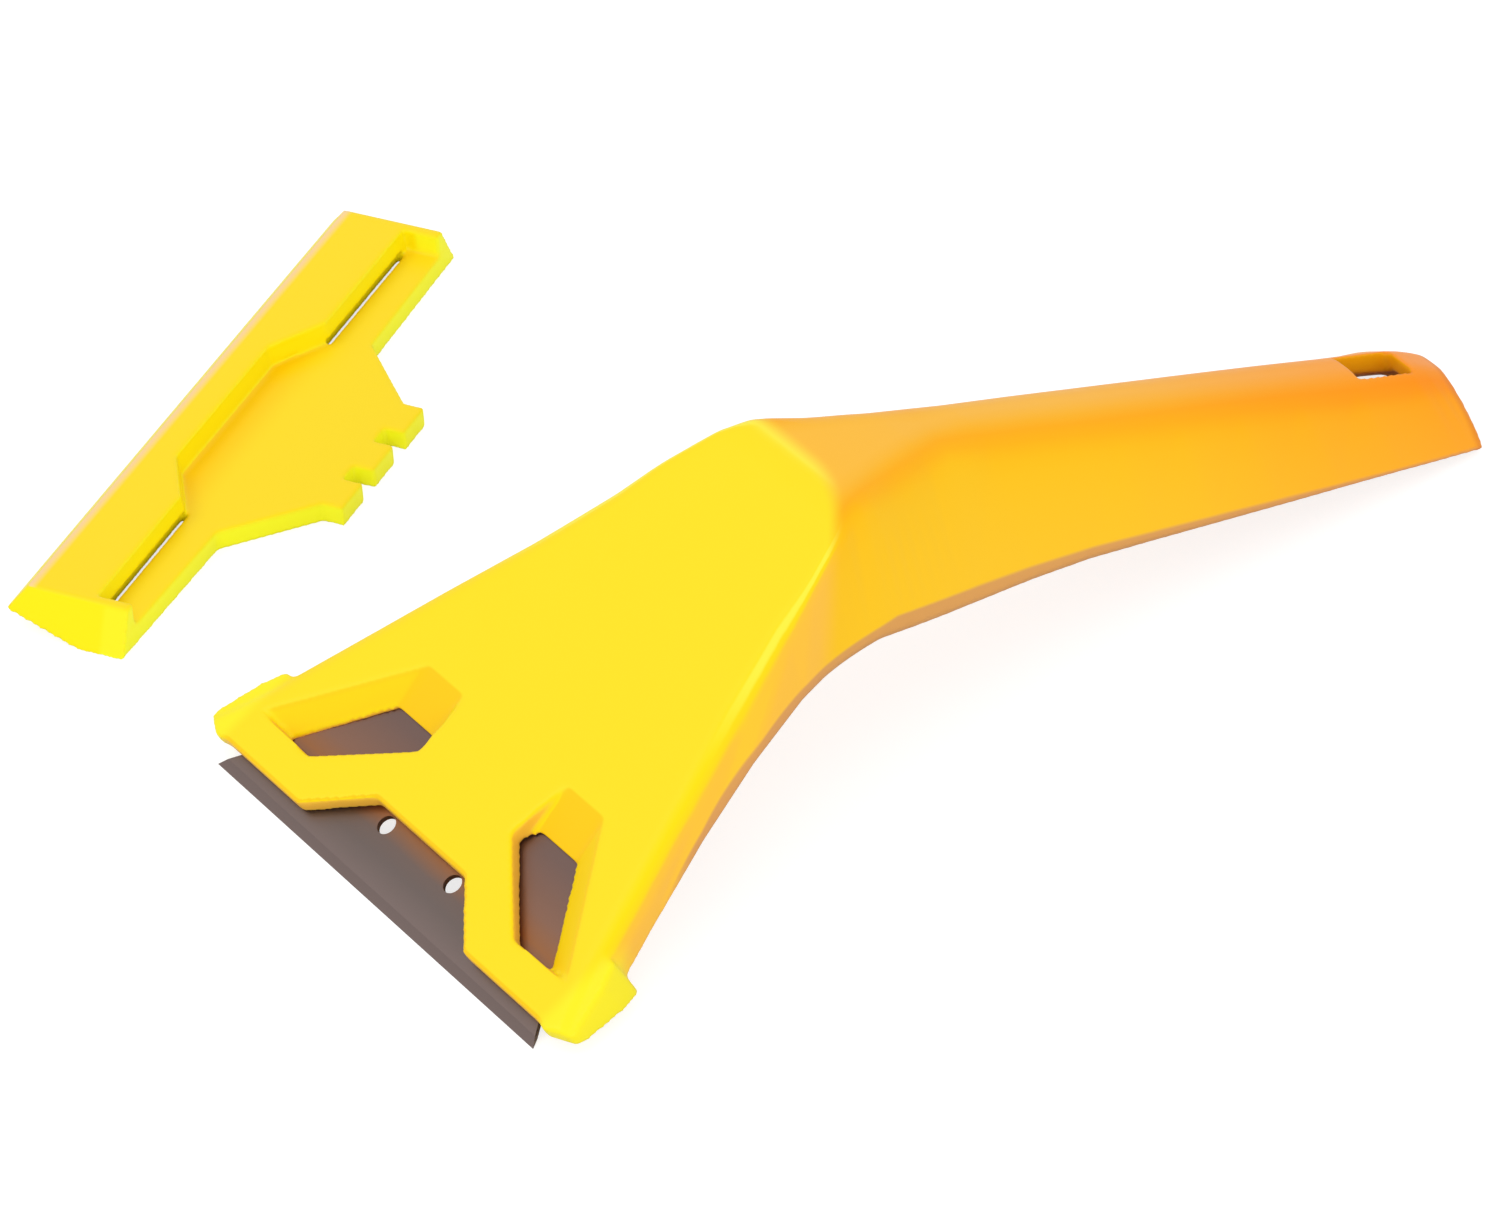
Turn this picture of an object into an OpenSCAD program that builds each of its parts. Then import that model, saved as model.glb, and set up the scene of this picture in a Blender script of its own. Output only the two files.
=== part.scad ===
// Ceramic hob scraper: one-piece handle with a flat head, a trapezoid blade and its clip-on guard.
// X runs along the cutting edge, Y back along the tool and Z up from the hob.
// The origin is the middle of the cutting edge, resting on the hob.

/* [Blade] */
// Length of the cutting edge
blade_len = 60; // [52:1:62]
// Width of the blade from its edge to its back
blade_depth = 19; // [17:0.5:20]
// Thickness of the steel
blade_t = 0.6; // [0.4:0.1:0.8]
// How far each end slants inwards for every millimetre of width
blade_slant = 0.76; // [0.6:0.02:0.9]
// Diameter of the two small holes
blade_hole_d = 2.2; // [1.6:0.1:2.6]
// Distance between the two holes
blade_hole_gap = 12.5; // [10:0.5:14]
// Distance of the holes from the cutting edge
blade_hole_back = 7; // [6:0.1:7]
// Width of the ground bevel at the cutting edge
blade_bevel = 1.1; // [0.6:0.1:1.6]

/* [Head] */
// Angle of the blade and the face above the hob, in degrees
head_angle = 26.6; // [22:0.2:30]
// Thickness of the plate over the blade
plate_t = 2; // [1.6:0.1:2.6]
// Length of the flat face, from the cutting edge to the brow
face_len = 61.5; // [56:0.5:68]
// Distance of the two lobes behind the cutting edge
lobe_back = 2.3; // [1.6:0.1:3]
// Width of the head where its sides would meet the cutting edge
head_w = 70; // [68:0.5:74]
// Width of the face at the brow
brow_w = 22.4; // [18:0.2:26]
// Radius along the side edges of the face
side_r = 3.4; // [2.4:0.1:3.8]
// Radius round the sides of the brow
brow_r = 1.4; // [1.2:0.1:3]
// Height of the head's side walls near the blade
side_h = 5.2; // [4.8:0.1:6]
// Width across the two ears
ear_span = 68.4; // [67:0.5:72]
// Length of each ear, measured back along the face
ear_len = 8; // [6:0.5:10]
// Height of the ears above the hob
ear_clear = 1.5; // [1.2:0.1:2.2]

/* [Notch and windows] */
// Width of the notch at its bottom
notch_w = 16.6; // [15:0.2:18]
// Width of the notch at its mouth
notch_mouth = 31.4; // [28:0.2:34]
// Distance of the notch's bottom behind the cutting edge
notch_back = 8.2; // [7.5:0.1:9]
// Distance of the windows' front sides behind the cutting edge
window_front = 6.8; // [6:0.1:8]
// Distance of the windows' back sides behind the cutting edge
window_back = 22.3; // [20:0.2:23]
// Distance between the two windows
window_gap = 17.6; // [15:0.2:19]
// Length of the sloped wall at the back of a window
window_slope = 6; // [3:0.5:7]

/* [Handle] */
// Length of the whole tool
tool_len = 138; // [120:0.5:150]
// Height of the crest behind the brow
crest_h = 30.3; // [26:0.1:34]
// Height of the handle's end
end_h = 5.9; // [4:0.1:8]
// Fall of the handle's ridge, in degrees
grip_angle = 18.8; // [18:0.2:21]
// Width across the handle's rim
grip_w = 23.2; // [20:0.2:27]
// Radius of the handle's ridge
ridge_r = 5.5; // [4:0.1:6.5]
// Width of the flat stretch along the ridge
ridge_flat = 1.2; // [0.6:0.2:3]
// Width of the flat stretch at the handle's end
end_flat = 2; // [1:0.5:6]
// Thickness of the walls
wall = 2; // [1.6:0.1:2.4]
// Height of the arch under the neck
arch_h = 15.8; // [12:0.1:16]
// Width across the rim under the neck
neck_w = 30; // [27:0.2:33]
// Bevel along the bottom rim
rim_bevel = 1.2; // [0.6:0.1:1.4]
// Width of the hanging slot
slot_w = 4.8; // [4.2:0.1:5.4]
// Length of the hanging slot
slot_len = 7.2; // [6:0.1:9]
// Plastic left behind the hanging slot
slot_back = 4.6; // [3:0.1:6]

/* [Guard] */
// Length of the guard
guard_len = 79; // [76:0.1:82]
// Depth of the guard at its ends
guard_depth = 14.6; // [13:0.1:16]
// Reach of the tongue behind the guard's front
tongue_reach = 23.5; // [21:0.1:26]
// Width of the tongue at its end
tongue_w = 19.6; // [17:0.1:22]
// Height of the guard
guard_h = 5.2; // [4.8:0.1:6]
// Height of the guard's floor
floor_h = 2.5; // [2.2:0.1:3]
// Thickness of the guard's walls
guard_wall = 1.2; // [1:0.1:1.4]
// Depth of the two hood wings
wing_depth = 10.3; // [9.4:0.1:11]
// Depth of the hood between the wings
hood_depth = 6.4; // [5.6:0.1:7.2]
// Number of teeth on the tongue
teeth = 3; // [2:1:4]
// Length of the teeth
tooth_len = 2.5; // [1.5:0.1:3]
// Gap between two teeth
tooth_gap = 2.5; // [1.5:0.1:3]
// How far the top of each end lies inside its foot
end_slope = 2.4; // [2:0.1:4]
// Width of the bevel along the guard's front
front_bevel = 2.4; // [1.6:0.1:2.8]
// Width of the slits behind the wings
slit_w = 0.8; // [0.5:0.1:1.2]

/* [Hidden] */
e = 0.01;
$fn = 32;

// Clearance round the blade in its pocket
blade_clear = 0.1;
// Least height of the head's side walls above the hob, and how far they flare out behind it
rim_clear = 0.35;
side_flare = 1.8;
// Places of a window's corners from its inner side, and how far that side runs back
window_w = 10.7;
window_back_w = 7.6;
window_skew = 8;
// Front of the jaws that hold the blade from below
jaw_front = 5.2;
// Radius of the ears' outer corners
ear_round = 3.2;
// Where the guard lies beside the tool, and how far it is turned
guard_place = [-1.228 * ear_span, 28.4, 0];
guard_turn = 120;
// Height of the guard's front edge, where the bevel above it meets the slope below, and that slope's width
bevel_foot = 2.3;
foot_slope = 8.8;
// How far the tongue's root is wider than its end on each side
tongue_flare = 8.6;
// Depth of a cut that clears the head
cut = head_w / 3;
// Handle's end: its bow in plan, the roll of the ridge over it, and the taper of its rim
end_bow = 2.2;
end_bow_r = (grip_w * grip_w / 4 + end_bow * end_bow) / (2 * end_bow);
end_roll = 6;
end_drop = 1.1;
end_taper = 0.2;
// How far the bottom rim swells out in front of the end
rim_swell = 0.2;
// Places of the face, the brow and the handle's end in the tool's frame
face_n = blade_t / 2 + plate_t;
face_rise = tan(head_angle);
brow_y = face_len * cos(head_angle);
hollow_y = window_back * cos(head_angle) + 1.2;

// Smooth step from 0 to 1 while y goes from a to b
function ease(y, a, b) = let(t = min(1, max(0, (y - a) / (b - a)))) t * t * (3 - 2 * t);
// Smaller of two heights, rounded over where they cross
function soft_min(a, b, k) = let(h = max(k - abs(a - b), 0) / k) min(a, b) - h * h * k / 4;
function soft_max(a, b, k) = -soft_min(-a, -b, k);

// Height of the face above the hob
function face_z(y) = face_n / cos(head_angle) + y * face_rise;
// Height of the handle's ridge: level behind the brow, then falling to the end
function ridge_z(y) = soft_min(crest_h, end_h + (tool_len - y) * tan(grip_angle), 4.5) - end_fall(y);
function end_fall(y) = let(t = max(0, 1 - (tool_len - y) / end_roll)) end_drop * t * t;
function top_z(y) = soft_min(face_z(y), ridge_z(y), 1.2);
// Height of the bottom rim: parallel to the face, over the arch, then down to the hob
function arch_z(y) = let(t = max(0, (y - brow_y) / (tool_len - brow_y)))
  arch_h * (1 - t) + rim_swell * ease(t, 0.55, 0.8) * (1 - ease(t, 0.85, 1));
function rim_z(y) = max(rim_clear * (1 - ease(y, brow_y, tool_len)),
  soft_min(face_z(y) - side_h, arch_z(y), 5));
// Half width of the face, and of the ridge with its rounded shoulders
function face_w(y) = head_w / 2 - y * (head_w - brow_w) / 2 / brow_y;
function top_w(y) = y < brow_y
  ? face_w(y)
  : ridge_r + ridge_flat / 2 + (brow_w - 2 * ridge_r - ridge_flat) / 2 * (1 - ease(y, brow_y, brow_y + 20));
// Radius of the shoulder: tight at the brow, and never more than the wall's height allows
function top_r(y) = min((top_z(y) - rim_z(y)) * 0.6,
  side_r + (brow_r - side_r) * ease(y, brow_y - 16, brow_y - 6)
  + (ridge_r - brow_r) * ease(y, brow_y - 2, brow_y + 8));
// Half width of the flat stretch between the shoulders
function flat_w(y) = y < brow_y + 20
  ? top_w(y) - top_r(y)
  : ridge_flat / 2 + (end_flat - ridge_flat) / 2 * ease(y, tool_len - 16, tool_len);
// Half width at the bottom rim
function rim_w(y) = soft_max(
  face_w(y) + side_flare * ease(y, 10, 40),
  grip_w / 2 + (neck_w - grip_w) / 2 * (1 - ease(y, brow_y - 3, brow_y + 32)), 3) - end_taper * ease(y, tool_len - 10, tool_len);

// Right half of a section: flat top, round shoulder, sloping side and bevelled rim, drawn in by t
arc_steps = 6;
function half_ring(y, t, drop) = let(
    r = max(0.6, top_r(y) - t),
    w = rim_w(y) - t,
    cx = flat_w(y),
    cz = top_z(y) - top_r(y) + (top_r(y) - t - r),
    bevel = t > 0 ? 0 : rim_bevel * ease(y, 8, 30) * (1 - 0.7 * ease(y, brow_y + 30, tool_len)),
    qz = min(rim_z(y) + bevel, cz - 0.05) - drop,
    d = norm([w - cx, qz - cz]),
    end = atan2(qz - cz, w - cx) + acos(min(1, r / d)))
  concat(
    [for (i = [0:arc_steps]) let(a = 90 + (end - 90) * i / arc_steps) [cx + r * cos(a), cz + r * sin(a)]],
    [[w, qz], [w - bevel * 0.7, rim_z(y) - drop - e]]);
function ring(y, t, drop) = let(h = half_ring(y, t, drop), n = len(h))
  concat(h, [for (i = [n - 1:-1:0]) [-h[i][0], h[i][1]]]);

// Skin drawn through the sections at the places ys
module loft(ys, t = 0, drop = 0) {
  rings = [for (y = ys) ring(y, t, drop)];
  n = len(rings[0]);
  last = len(ys) - 1;
  polyhedron(
    points = [for (k = [0:last]) for (p = rings[k]) [p[0], ys[k], p[1]]],
    faces = concat(
      [[for (i = [0:n - 1]) i]],
      [[for (i = [n - 1:-1:0]) last * n + i]],
      [for (k = [0:last - 1]) for (i = [0:n - 1]) [k * n + i, k * n + n + i, k * n + (i + 1) % n]],
      [for (k = [0:last - 1]) for (i = [0:n - 1])
        [k * n + n + i, k * n + n + (i + 1) % n, k * n + (i + 1) % n]]));
}

outer_ys = concat(
  [0, 4, 8],
  [for (i = [1:4]) 8 + i * (brow_y - 20) / 4],
  [for (i = [-5:1:8]) brow_y + i * 1.6],
  [for (i = [1:8]) brow_y + 13 + i * (tool_len - 5 - brow_y - 13) / 8],
  [for (s = [3, 1.5, 0.5, 0]) tool_len - s]);
inner_ys = concat(
  [for (i = [0:4]) hollow_y + i * (brow_y - 8 - hollow_y) / 4],
  [for (i = [-3:1:5]) brow_y + i * 2.4],
  [for (i = [1:7]) brow_y + 12 + i * (tool_len - wall - brow_y - 12) / 7]);

// Puts children in the blade's plane: x along the edge, y back along the blade, z out of the face
module on_blade() {
  rotate([head_angle, 0, 0]) children();
}
module both_sides() {
  children();
  mirror([1, 0, 0]) children();
}

// Outline of the blade, grown by g
module blade_outline(g = 0) {
  half = blade_len / 2 + g;
  back = half - (blade_depth + g) * blade_slant;
  polygon([[-half, 0], [half, 0], [back, blade_depth + g], [-back, blade_depth + g]]);
}

module blade() {
  color("#6D605A") on_blade() difference() {
    translate([0, 0, -blade_t / 2]) linear_extrude(blade_t) blade_outline();
    both_sides() translate([blade_hole_gap / 2, blade_hole_back, -blade_t])
      cylinder(h = 2 * blade_t, d = blade_hole_d);
    for (s = [0, 1]) mirror([0, 0, s]) rotate([90, 0, 90])
      translate([0, 0, -blade_len]) linear_extrude(2 * blade_len)
        polygon([[-1, 0], [0, 0], [blade_bevel, blade_t / 2], [blade_bevel, blade_t], [-1, blade_t]]);
  }
}

// Space cut out in front of the lobes and between them
module front_outline() {
  far = head_w;
  tip = ear_span / 2;
  polygon([[-far, -far], [far, -far], [far, lobe_back + ear_round + 1], [tip, lobe_back + 1],
    [tip - ear_round, lobe_back - 0.4], [tip - ear_round - 1.4, lobe_back], [notch_mouth / 2, lobe_back],
    [notch_w / 2, notch_back], [-notch_w / 2, notch_back], [-notch_mouth / 2, lobe_back],
    [-tip + ear_round + 1.4, lobe_back], [-tip + ear_round, lobe_back - 0.4], [-tip, lobe_back + 1],
    [-far, lobe_back + ear_round + 1]]);
}

// A window: steep at its front and inner sides, sloped at its outer and back sides
module window() {
  inner = window_gap / 2;
  tip = blade_len / 2 - 1;
  low_back = window_back - window_slope;
  hull() {
    translate([0, 0, blade_t / 2]) linear_extrude(e) polygon([[inner + window_w, window_front],
      [inner + 0.4, window_front + window_skew], [inner + 2, low_back], [inner + window_back_w, low_back],
      [tip - window_slope * 0.8, window_front + 0.2]]);
    translate([0, 0, face_n]) linear_extrude(plate_t + 2) polygon([[inner + window_w, window_front],
      [inner, window_front + window_skew], [inner + 0.8, window_back], [inner + window_back_w, window_back],
      [tip, window_front + 0.2]]);
  }
}

// Corner block beyond the blade's end
module ear() {
  outer = ear_span / 2;
  inner = outer - 2 * ear_round;
  back = lobe_back + ear_len;
  intersection() {
    on_blade() translate([0, 0, -side_h - ear_len]) linear_extrude(side_h + ear_len + face_n - 0.5)
      polygon([[inner, lobe_back - 1], [outer - 0.6, lobe_back - 1], [outer, lobe_back + 1.6],
        [outer - 1.8, back - 1], [outer - ear_round, back + 1.6], [inner, back + 1.6]]);
    translate([0, -ear_len, ear_clear]) cube([head_w, 4 * ear_len, crest_h]);
  }
}

module handle_body() {
  color("#FFE01F") difference() {
    union() {
      intersection() {
        loft(outer_ys);
        union() {
          translate([-head_w, -1, -1]) cube([2 * head_w, tool_len - end_bow_r + 1, crest_h + 9]);
          translate([0, tool_len - end_bow_r, -1]) cylinder(h = crest_h + 9, r = end_bow_r, $fn = 128);
        }
      }
      both_sides() ear();
    }
    loft(inner_ys, wall, 2);
    on_blade() {
      translate([0, 0, -cut]) linear_extrude(2 * cut) front_outline();
      translate([0, 0, -blade_t / 2 - blade_clear]) linear_extrude(blade_t + 2 * blade_clear)
        blade_outline(blade_clear);
      translate([-blade_len / 2 + 1, -cut, -cut]) cube([blade_len - 2, cut + jaw_front, cut]);
      translate([-window_gap / 2, -cut, -cut]) cube([window_gap, cut + blade_depth + blade_clear, cut]);
      both_sides() window();
    }
    both_sides() translate([blade_len / 2 - 1, -cut, -cut])
      cube([head_w, cut + ear_len, cut + ear_clear]);
    translate([-slot_w / 2, tool_len - slot_back - slot_len, 0]) cube([slot_w, slot_len, crest_h]);
  }
}

// Outline of the guard's floor, with its tongue and teeth
module floor_outline(inset = 0) {
  half = guard_len / 2 - inset;
  base = tongue_w / 2 + tongue_flare;
  back = guard_depth - inset;
  polygon([[-half, inset], [half, inset], [half, back], [base - inset, back + 0.5],
    [tongue_w / 2 - inset, tongue_reach - inset], [-tongue_w / 2 + inset, tongue_reach - inset],
    [-base + inset, back + 0.5], [-half, back]]);
}
module tooth_row() {
  pitch = (tongue_w + tooth_gap) / teeth;
  for (i = [0:teeth - 1])
    translate([-tongue_w / 2 + i * pitch, tongue_reach - 1]) square([pitch - tooth_gap, 1 + tooth_len]);
}
// Outline of the hood: two wings, and a narrow strip between them opposite the notch
module hood_outline() {
  half = guard_len / 2;
  mouth = notch_mouth / 2 + 1.3;
  strip = notch_w / 2 + 2.4;
  polygon([[-half, 0], [half, 0], [half, wing_depth], [mouth, wing_depth], [strip, hood_depth],
    [-strip, hood_depth], [-mouth, wing_depth], [-half, wing_depth]]);
}

module blade_guard() {
  half = guard_len / 2;
  roof = guard_h - guard_wall;
  inner = half - end_slope - guard_wall;
  color("#FEDF26") translate(guard_place) rotate([0, 0, guard_turn]) mirror([0, 1, 0]) difference() {
    union() {
      linear_extrude(floor_h) floor_outline();
      linear_extrude(floor_h) tooth_row();
      linear_extrude(guard_h) hood_outline();
      both_sides() translate([inner, 0, 0]) cube([half - inner, guard_depth, guard_h]);
    }
    // Hollow under the floor, and the slot that takes the blade
    translate([0, 0, -e]) linear_extrude(floor_h - guard_wall) floor_outline(guard_wall + floor_h / 2);
    translate([-inner, guard_wall + front_bevel / 2, floor_h])
      cube([2 * inner, 2 * guard_depth, roof - floor_h]);
    // Slope under the front, sloped ends, the bevel along the front, and the slits under the wings
    rotate([90, 0, 90]) translate([0, 0, -guard_len]) linear_extrude(2 * guard_len)
      polygon([[-1, -1], [foot_slope + foot_slope / bevel_foot, -1], [0, bevel_foot], [-1, bevel_foot]]);
    both_sides() translate([half, -1, 0]) rotate([0, -atan(end_slope / guard_h), 0])
      cube([2 * guard_h, guard_depth + 2, 2 * guard_h]);
    translate([-half - 1, 0, bevel_foot]) rotate([atan((guard_h - bevel_foot) / front_bevel), 0, 0])
      cube([guard_len + 2, 2 * guard_h, 2 * guard_h]);
    both_sides() translate([notch_mouth / 2 + 1, wing_depth - slit_w / 2, -e])
      cube([inner - notch_mouth / 2 - 2, slit_w, floor_h + 1]);
  }
}

handle_body();
blade();
blade_guard();
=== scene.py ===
import bpy
import bmesh
from math import radians, sin, cos
from mathutils import Matrix, Vector


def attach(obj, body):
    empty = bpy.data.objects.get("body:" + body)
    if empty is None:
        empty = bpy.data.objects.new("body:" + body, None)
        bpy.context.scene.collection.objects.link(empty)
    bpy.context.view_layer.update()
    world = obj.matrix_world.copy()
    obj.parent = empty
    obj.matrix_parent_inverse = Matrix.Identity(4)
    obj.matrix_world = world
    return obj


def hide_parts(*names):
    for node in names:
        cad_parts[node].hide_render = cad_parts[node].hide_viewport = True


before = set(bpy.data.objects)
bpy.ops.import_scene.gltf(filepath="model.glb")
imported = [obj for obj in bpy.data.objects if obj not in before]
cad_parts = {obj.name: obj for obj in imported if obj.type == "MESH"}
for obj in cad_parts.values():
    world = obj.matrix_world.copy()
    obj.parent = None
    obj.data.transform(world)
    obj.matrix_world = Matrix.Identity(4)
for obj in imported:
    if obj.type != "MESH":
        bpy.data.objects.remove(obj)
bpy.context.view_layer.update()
scene = bpy.context.scene
print("frame loaded")

# metres throughout: x along the blade's edge, y back along the handle, z up
sideways = (1, 0, 0)
backwards = (0, 1, 0)
forwards = (0, -1, 0)
upwards = (0, 0, 1)
bladeTilt = radians(26.6)  # between the blade and the surface that the tool lies on
bladeInwards = (0, cos(bladeTilt), sin(bladeTilt))
bladeUp = (0, -sin(bladeTilt), cos(bladeTilt))  # the head's face looks this way too
weldDistance = 1e-6


def linear(colour):
    # 0 to 255 as seen on screen, to the linear value that a socket takes
    shares = [level / 255 for level in colour]
    curved = [((share + 0.055) / 1.055) ** 2.4 if share > 0.04045 else share / 12.92
              for share in shares]
    return (*curved, 1)


def grey(level):
    return (level, level, level, 1)


def addObject(name, data):
    item = bpy.data.objects.new(name, data)
    scene.collection.objects.link(item)
    return item


def setStops(ramp, stops):
    while len(ramp.elements) < len(stops):
        ramp.elements.new(0.5)
    for element, (place, colour) in zip(ramp.elements, stops):
        element.position = place
        element.color = colour


class Wire:
    # one socket of a node, with the maths that the materials use written as operators
    def __init__(self, look, socket):
        self.look = look
        self.socket = socket

    def __add__(self, other):
        return self.look.maths("ADD", self, other)

    def __radd__(self, other):
        return self.look.maths("ADD", other, self)

    def __sub__(self, other):
        return self.look.maths("SUBTRACT", self, other)

    def __rsub__(self, other):
        return self.look.maths("SUBTRACT", other, self)

    def __mul__(self, other):
        return self.look.maths("MULTIPLY", self, other)

    def __rmul__(self, other):
        return self.look.maths("MULTIPLY", other, self)

    def __abs__(self):
        return self.look.maths("ABSOLUTE", self)


class Look:
    # one material, and the nodes that are added to it
    def __init__(self, name):
        self.material = bpy.data.materials.new(name)
        self.material.use_nodes = True
        self.tree = self.material.node_tree
        self.tree.nodes.clear()
        self.output = self.tree.nodes.new("ShaderNodeOutputMaterial")

    def locate(self):
        # where a point of the surface is, and the way it faces
        self.place = self.add("ShaderNodeTexCoord", take="Object")
        self.facing = self.add("ShaderNodeNewGeometry", take="Normal")
        self.x, self.y, self.z = (self.axis(self.place, way) for way in (sideways, backwards, upwards))
        self.up = self.axis(self.facing, upwards)

    def put(self, socket, value):
        if isinstance(value, Wire):
            self.tree.links.new(value.socket, socket)
        else:
            socket.default_value = value

    def add(self, kind, settings=None, values=None, take=0):
        node = self.tree.nodes.new(kind)
        for key, value in (settings or {}).items():
            if key == "stops":
                setStops(node.color_ramp, value)
            else:
                setattr(node, key, value)
        for key, value in (values or {}).items():
            self.put(node.inputs[key], value)
        return Wire(self, node.outputs[take])

    def blend(self, amount, first, second, mode="MIX"):
        settings = {"data_type": "RGBA", "blend_type": mode}
        return self.add("ShaderNodeMix", settings, {0: amount, 6: first, 7: second}, 2)  # 2, 6, 7: colours

    def paint(self, colour, tone, mask):
        return self.blend(mask, colour, linear(tone))

    def ramp(self, value, tones):
        stops = [(at, linear(tone)) for at, tone in tones]
        return self.add("ShaderNodeValToRGB", {"stops": stops}, {0: value})

    def smooth(self, value, band):
        # 0 at the band's first value and 1 at its second, which may be the smaller one
        return self.add("ShaderNodeMapRange", {"interpolation_type": "SMOOTHSTEP"},
                        {"Value": value, "From Min": band[0], "From Max": band[1]})

    def maths(self, operation, first, second=0.0):
        return self.add("ShaderNodeMath", {"operation": operation}, {0: first, 1: second})

    def positive(self, value):
        return self.maths("MAXIMUM", value, 0.0)

    def axis(self, vector, direction):
        return self.add("ShaderNodeVectorMath", {"operation": "DOT_PRODUCT"},
                        {0: vector, 1: direction}, "Value")

    def noise(self, scale, detail, stretch=(1, 1, 1)):
        spread = self.add("ShaderNodeMapping", None, {"Vector": self.place, "Scale": stretch})
        return self.add("ShaderNodeTexNoise", None, {"Vector": spread, "Scale": scale, "Detail": detail})

    def wander(self, scale, detail, depth):
        # noise to both sides of zero
        return (self.noise(scale, detail) - 0.5) * depth

    def bump(self, height, strength, depth):
        return self.add("ShaderNodeBump", None,
                        {"Strength": strength, "Distance": depth, "Height": height})

    def finish(self, shader):
        self.tree.links.new(shader.socket, self.output.inputs["Surface"])
        return self.material


def mouldedCopy(nodeName, settings, material, addMore=None):
    # the CAD solid drawn with even, small faces and softened, as a moulding's edges are
    bm = bmesh.new()
    bm.from_mesh(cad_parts[nodeName].data)
    bmesh.ops.remove_doubles(bm, verts=bm.verts, dist=weldDistance)
    if addMore:
        addMore(bm, settings)
    rough = bpy.data.meshes.new("rough")
    bm.to_mesh(rough)
    bm.free()
    draft = addObject("rough", rough)
    even = draft.modifiers.new("even", "REMESH")
    even.mode = "VOXEL"
    even.voxel_size = settings["voxel"]
    soft = draft.modifiers.new("soft", "SMOOTH")
    soft.iterations = settings["soften"]
    fewer = draft.modifiers.new("fewer", "DECIMATE")
    fewer.ratio = settings["keep"]
    bpy.context.view_layer.update()
    finished = draft.evaluated_get(bpy.context.evaluated_depsgraph_get())
    mesh = bpy.data.meshes.new_from_object(finished)
    bpy.data.objects.remove(draft)
    bpy.data.meshes.remove(rough)
    mesh.name = settings["name"]
    mesh.shade_smooth()
    mesh.materials.clear()
    mesh.materials.append(material)
    piece = addObject(settings["name"], mesh)
    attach(piece, settings["body"])
    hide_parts(nodeName)
    print(settings["name"], len(mesh.polygons), "faces")


# surface of both plastic pieces: a noise is its scale, its detail and how far it goes
moulding = {
    "cloud": (60.0, 4.0, 0.04), "mottle": (220.0, 5.0, 0.12), "grain": (900.0, 6.0),
    "roughness": 0.34, "specular": 0.16, "bump": (0.05, 0.0001),
}


def plasticShader(look, colour, settings=moulding):
    rough = settings["roughness"] + look.wander(*settings["mottle"])
    bump = look.bump(look.noise(*settings["grain"]), *settings["bump"])
    return look.finish(look.add("ShaderNodeBsdfPrincipled", None, {
        "Base Color": colour, "Roughness": rough, "Specular IOR Level": settings["specular"],
        "Normal": bump}))


# a mask is given as two values, where it starts and where it is full
handle = {
    "name": "handleShell", "body": "tool", "slot": "yellow_plastic",
    "voxel": 0.0003, "soften": 10, "keep": 0.46,
    # head: painted light and shade by its lean, which is 1 on the broad face and less on what turns away
    # from it; then painted shade on the walls that face forwards, and painted highlights along the crease
    # and on the lobes
    "head": [(0.0, (255, 194, 66)), (0.45, (255, 198, 52)), (0.6, (255, 216, 16)),
             (0.85, (255, 223, 0)), (0.94, (255, 225, 20)), (0.98, (255, 225, 24))],
    "headEnd": (0.0585, 0.0560), "headRound": 38.0,
    "frontWallShade": (255, 206, 6), "frontFacing": (0.54, 0.66), "frontLean": (0.3, 0.6),
    "frontAside": (0.45, 0.25),
    "creaseHighlight": (255, 238, 66), "creaseTop": (0.97, 0.93), "creaseFoot": (0.72, 0.84),
    "creaseStart": (0.028, 0.040),
    "lobeHighlight": (255, 239, 32), "lobeStart": (0.0290, 0.0312),
    # grip: painted shade and reflection from the crown outwards, a pale reflection on the crown and a
    # darker band below it, and the share of green left towards its end, a painted shade that turns it
    # redder
    "across": [(0.0, (254, 190, 54)), (0.133, (253, 187, 44)), (0.217, (253, 182, 26)),
               (0.29, (254, 176, 4)), (0.375, (254, 182, 2)), (0.433, (254, 190, 4)),
               (0.475, (254, 195, 8)), (0.54, (254, 198, 16)), (0.7, (254, 200, 24)),
               (0.95, (254, 201, 32))],
    "along": [(0.0, 1.0), (0.375, 0.965), (0.525, 0.91), (0.69, 0.80), (0.86, 0.715), (0.95, 0.65)],
    "gripStart": 0.058, "gripLength": 0.080, "gripWidth": 0.012,
    "shoulder": 0.071, "shoulderSlope": 0.35,
    # bottom rim, which carries a painted shade on its turned-under edge and on the steep hollow inside it:
    # it falls straight towards the handle's end, and in a bow towards the blade
    "rim": (214, 150, 92), "rimShadeShare": 0.85, "rimHeight": 0.0168, "rimStart": 0.0575,
    "rimFall": 0.2054, "rimBand": (0.00125, 0.00085), "rimThin": 0.0009,
    "archStart": 0.047, "archFall": 12.8,
    "underStart": (0.018, 0.024), "underLean": (-0.05, -0.35), "underBand": (0.0032, 0.0020),
    # painted shade on the edge of the bowed end, and on the walls of the hanging slot
    "endEdgeShade": (224, 126, 34), "endShare": 0.6, "endRound": 16.3, "endBand": (0.1367, 0.1377),
    "slotWallShade": (255, 178, 12), "slotStart": (0.1235, 0.1250), "slotEnd": (0.1350, 0.1342),
    "slotSide": (0.0030, 0.0026), "slotLean": (0.7, 0.55),
}


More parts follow.
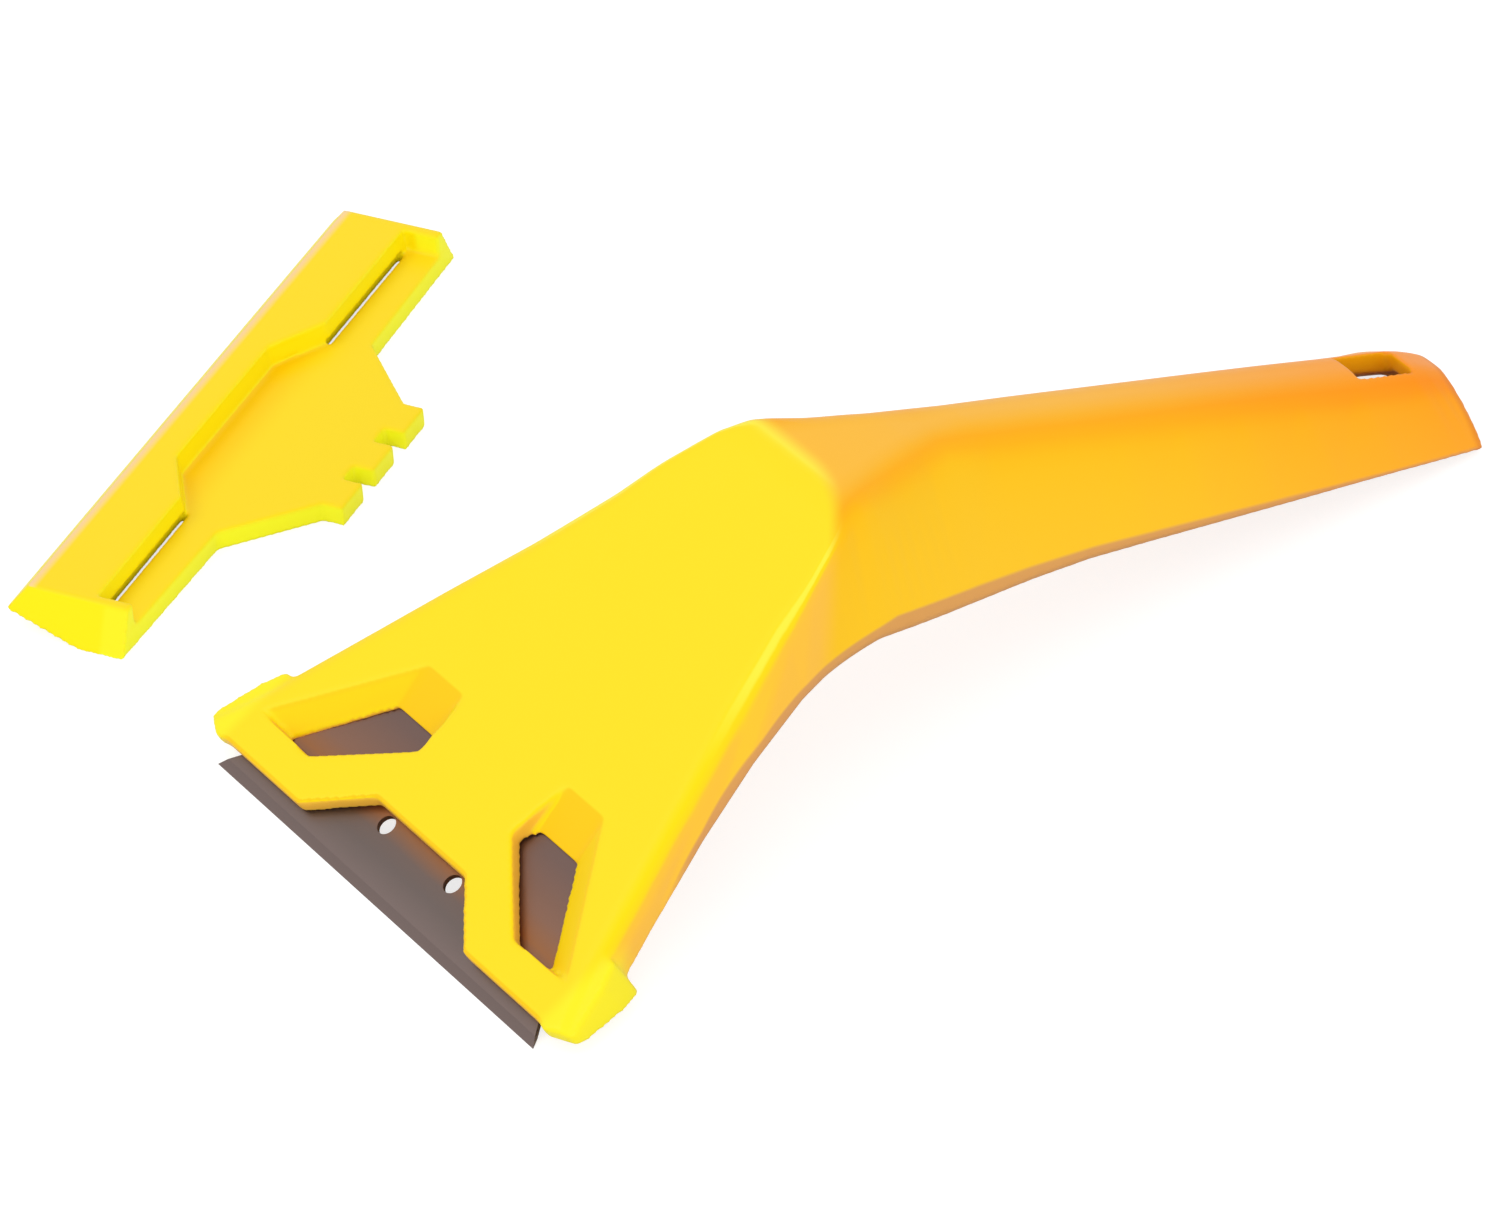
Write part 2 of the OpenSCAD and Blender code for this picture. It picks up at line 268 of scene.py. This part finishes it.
def headLightAndShade(look, settings, cloud):
    # painted light and shade: the head's colour follows how far its surface turns away from the broad face
    lean = look.axis(look.facing, bladeUp) + cloud
    colour = look.ramp(lean, settings["head"])
    # painted shade on the walls that face forwards
    front = look.smooth(look.axis(look.facing, forwards), settings["frontFacing"])
    front = front * look.smooth(lean, settings["frontLean"])
    front = front * look.smooth(abs(look.axis(look.facing, sideways)), settings["frontAside"])
    colour = look.paint(colour, settings["frontWallShade"], front)
    # painted highlight along the rounded crease of the face
    creaseHighlight = look.smooth(lean, settings["creaseTop"]) * look.smooth(lean, settings["creaseFoot"])
    creaseHighlight = creaseHighlight * look.smooth(look.y, settings["creaseStart"])
    colour = look.paint(colour, settings["creaseHighlight"], creaseHighlight)
    # painted highlight on the side lobes
    return look.paint(colour, settings["lobeHighlight"], look.smooth(abs(look.x), settings["lobeStart"]))


def gripLightAndShade(look, settings, cloud, far):
    # painted shade and reflection across the grip, and painted shade that turns it redder towards its end
    shoulder = look.positive(settings["shoulder"] - look.y) * settings["shoulderSlope"]
    across = (abs(look.x) - shoulder) * (1 / settings["gripWidth"])
    colour = look.ramp(across + cloud, settings["across"])
    stops = [(at, (1, green, 1, 1)) for at, green in settings["along"]]
    endwardShade = look.add("ShaderNodeValToRGB", {"stops": stops}, {0: far})
    return look.blend(1.0, colour, endwardShade, "MULTIPLY")


def rimShadeMask(look, settings, far):
    # painted shade: a dark band on the rim, and on the steep part of the hollow just inside it
    behind = look.positive(look.y - settings["rimStart"])
    ahead = look.positive(settings["archStart"] - look.y)
    rim = settings["rimHeight"] - behind * settings["rimFall"] - ahead * ahead * settings["archFall"]
    above = look.z - rim
    band = look.smooth(above + look.positive(far) * settings["rimThin"], settings["rimBand"])
    inside = look.smooth(look.up, settings["underLean"]) * look.smooth(above, settings["underBand"])
    mask = look.maths("MAXIMUM", band, inside) * look.smooth(look.y, settings["underStart"])
    return mask * settings["rimShadeShare"]


def slotShadeMask(look, settings):
    mask = look.smooth(look.y, settings["slotStart"]) * look.smooth(look.y, settings["slotEnd"])
    mask = mask * look.smooth(abs(look.x), settings["slotSide"])
    return mask * look.smooth(look.up, settings["slotLean"])


def handleLook(settings):
    look = Look("handlePlastic")
    look.locate()
    cloud = look.wander(*moulding["cloud"])
    far = (look.y - settings["gripStart"]) * (1 / settings["gripLength"])
    right = look.positive(look.x)
    # the head's painted light gives way to the grip's painted shade, sooner on the right side
    head = look.smooth(look.y + right * right * settings["headRound"], settings["headEnd"])
    colour = look.blend(head, gripLightAndShade(look, settings, cloud, far), headLightAndShade(look, settings, cloud))
    # painted shade along the bottom rim and in the hollow inside it
    colour = look.paint(colour, settings["rim"], rimShadeMask(look, settings, far))
    # painted shade on the edge of the bowed end
    end = look.smooth(look.y + look.x * look.x * settings["endRound"], settings["endBand"])
    colour = look.paint(colour, settings["endEdgeShade"], end * settings["endShare"])
    # painted shade on the walls of the hanging slot
    colour = look.paint(colour, settings["slotWallShade"], slotShadeMask(look, settings))
    return plasticShader(look, colour)


mouldedCopy("handle_body", handle, handleLook(handle))


guard = {
    "name": "guardShell", "body": "guard", "slot": "guard_plastic",
    "voxel": 0.00024, "soften": 6, "keep": 0.9,
    "place": (-0.0839952, 0.0284, 0.0), "turn": 120,  # the CAD guard's own
    # inner edge of the hood: one half of its line, along and back, and its section, back and up
    "line": [(0.0358, 0.0103), (0.0170, 0.0103), (0.0107, 0.0064)],
    "section": [(-0.0001, 0.0051), (-0.0010, 0.0051), (-0.0010, 0.0030), (0.0003, 0.0030)],
    # painted light and shade: tones from steep to level, then painted light on the hood's sloped inside, a
    # pale painted highlight on the strip along the guard's outer edge, and painted shade on the floor
    # beside the hood
    "lean": [(0.0, (255, 255, 34)), (0.3, (255, 246, 34)), (0.5, (255, 240, 28)),
             (0.8, (255, 230, 18)), (1.0, (255, 222, 26))],
    "inner": (255, 238, 8), "innerBand": (0.0122, 0.0114), "innerLean": (0.7, 0.5),
    "edge": (253, 214, 150), "edgeBand": (0.0036, 0.0026), "edgeLean": (0.75, 0.95),
    "valleyShade": (255, 204, 0), "valleyBand": (0.0125, 0.0075), "valleyHeight": (0.0030, 0.0024),
    "valleyLean": (0.5, 0.8),
}
guardTurn = radians(guard["turn"])
guardPlace = Vector(guard["place"])
guardAlong = Vector((cos(guardTurn), sin(guardTurn), 0))
guardBack = Vector((sin(guardTurn), -cos(guardTurn), 0))


def addHoodEdge(bm, settings):
    # sloped inner edge of the guard's hood, down to a narrow gap over its floor
    line = settings["line"] + [(-u, v) for u, v in reversed(settings["line"])]
    for ends in zip(line, line[1:]):
        corners = []
        for u, v in ends:
            for shift, height in settings["section"]:
                at = guardPlace + guardAlong * u + guardBack * (v + shift) + Vector((0, 0, height))
                corners.append(bm.verts.new(at))
        bmesh.ops.convex_hull(bm, input=corners)


def guardLook(settings):
    look = Look("guardPlastic")
    look.locate()
    # painted light and shade: steep faces lighter, level faces darker
    colour = look.ramp(look.up + look.wander(*moulding["cloud"]), settings["lean"])
    back = look.axis(look.place, guardBack) - guardPlace.dot(guardBack)
    # painted shade on the low floor beside the hood
    valleyShade = look.smooth(back, settings["valleyBand"]) * look.smooth(look.z, settings["valleyHeight"])
    colour = look.paint(colour, settings["valleyShade"], valleyShade * look.smooth(look.up, settings["valleyLean"]))
    # painted light on the hood's sloped inside, which lies in shade
    inner = look.smooth(back, settings["innerBand"]) * look.smooth(look.up, settings["innerLean"])
    colour = look.paint(colour, settings["inner"], inner)
    # pale painted highlight on the strip along the guard's outer edge
    edge = look.smooth(back, settings["edgeBand"]) * look.smooth(look.up, settings["edgeLean"])
    return plasticShader(look, look.paint(colour, settings["edge"], edge))


mouldedCopy("blade_guard", guard, guardLook(guard), addHoodEdge)


blade = {
    # tones from the cutting edge inwards, over the depth given, with an orange band that is a painted
    # reflection of the yellow plastic
    "tones": [(0.0, (122, 106, 102)), (0.2, (107, 95, 91)), (0.29, (110, 94, 88)),
              (0.4, (146, 99, 66)), (0.52, (132, 98, 82)), (0.8, (112, 90, 84))],
    "depth": 0.020, "blotch": (70.0, 4.0, 0.06), "brushed": (400.0, 6.0, (0.05, 1.0, 1.0)),
    "metallic": 0.85, "roughness": 0.3, "brushedRoughness": 0.16, "bump": (0.08, 0.0001),
}


def bladeLook(settings):
    look = Look("bladeSteel")
    look.locate()
    brushed = look.noise(*settings["brushed"])
    depth = look.axis(look.place, bladeInwards) * (1 / settings["depth"])
    # painted reflection of the yellow plastic: the orange band in the blade's tones
    colour = look.ramp(depth + look.wander(*settings["blotch"]), settings["tones"])
    return look.finish(look.add("ShaderNodeBsdfPrincipled", None, {
        "Base Color": colour, "Metallic": settings["metallic"],
        "Roughness": settings["roughness"] + brushed * settings["brushedRoughness"],
        "Normal": look.bump(brushed, *settings["bump"])}))


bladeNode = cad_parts["blade"]
bladeNode.data.materials.clear()
bladeNode.data.materials.append(bladeLook(blade))
print("blade finished")


# floor, world and lamps: a lamp is its strength, its spread in degrees and where it shines from
room = {
    "floor": 1.6, "gap": 0.00002, "lit": 0.8, "shown": 0.38, "lift": 0.78, "world": 0.86,
    "lamps": {"window": (0.33, 25, (-0.45, -0.5, 0.9)), "side": (0.6, 40, (0.87, -0.32, 0.38))},
}


def floorLook(settings):
    # lifted to white for the camera alone, so that the object's shadow stays faint
    look = Look("paleFloor")
    seen = look.add("ShaderNodeLightPath", take="Is Camera Ray")
    plain = look.add("ShaderNodeBsdfDiffuse", None, {"Color": grey(settings["lit"])})
    dimmed = look.add("ShaderNodeBsdfDiffuse", None, {"Color": grey(settings["shown"])})
    glow = look.add("ShaderNodeEmission", None, {"Color": grey(1), "Strength": settings["lift"]})
    lifted = look.add("ShaderNodeAddShader", None, {0: dimmed, 1: glow})
    return look.finish(look.add("ShaderNodeMixShader", None, {0: seen, 1: plain, 2: lifted}))


bm = bmesh.new()
bmesh.ops.create_grid(bm, x_segments=1, y_segments=1, size=room["floor"])
floorMesh = bpy.data.meshes.new("floor")
bm.to_mesh(floorMesh)
bm.free()
floorMesh.materials.append(floorLook(room))
floor = addObject("floor", floorMesh)
floor.location.z = -room["gap"]

world = bpy.data.worlds.new("studio")
world.use_nodes = True
sky = world.node_tree.nodes["Background"]
sky.inputs["Color"].default_value = grey(1)
sky.inputs["Strength"].default_value = room["world"]
scene.world = world

for name, (strength, spread, source) in room["lamps"].items():
    sun = bpy.data.lights.new(name, "SUN")
    sun.energy = strength
    sun.angle = radians(spread)
    lamp = addObject(name, sun)
    lamp.rotation_mode = "QUATERNION"
    lamp.rotation_quaternion = Vector(source).to_track_quat("Z", "Y")
print("room lit")


# camera: angles in degrees, and the focal length in pixels of the photograph
shot = {
    "turn": 58.2486, "height": 37.1706, "roll": 4.66006, "distance": 1.065295,
    "target": (-0.0162003, 0.0585410, 0.0006437), "focal": 10001.4838, "photoWidth": 1500,
    "sensor": 36, "nearest": 0.05, "farthest": 10,
}


def placeCamera(settings):
    turn, height, roll = (radians(settings[angle]) for angle in ("turn", "height", "roll"))
    back = Vector((sin(turn) * cos(height), -cos(turn) * cos(height), sin(height)))
    right = (-back).cross(Vector(upwards)).normalized()
    down = (-back).cross(right)
    across = cos(roll) * right + sin(roll) * down
    up = sin(roll) * right - cos(roll) * down
    data = bpy.data.cameras.new("camera")
    data.sensor_fit = "HORIZONTAL"
    data.sensor_width = settings["sensor"]
    data.lens = settings["focal"] * settings["sensor"] / settings["photoWidth"]
    data.clip_start = settings["nearest"]
    data.clip_end = settings["farthest"]
    camera = addObject("camera", data)
    turned = Matrix((across, up, back)).transposed().to_4x4()
    place = Vector(settings["target"]) + settings["distance"] * back
    camera.matrix_world = Matrix.Translation(place) @ turned
    scene.camera = camera


placeCamera(shot)
scene.view_settings.view_transform = "Standard"
print("camera placed")
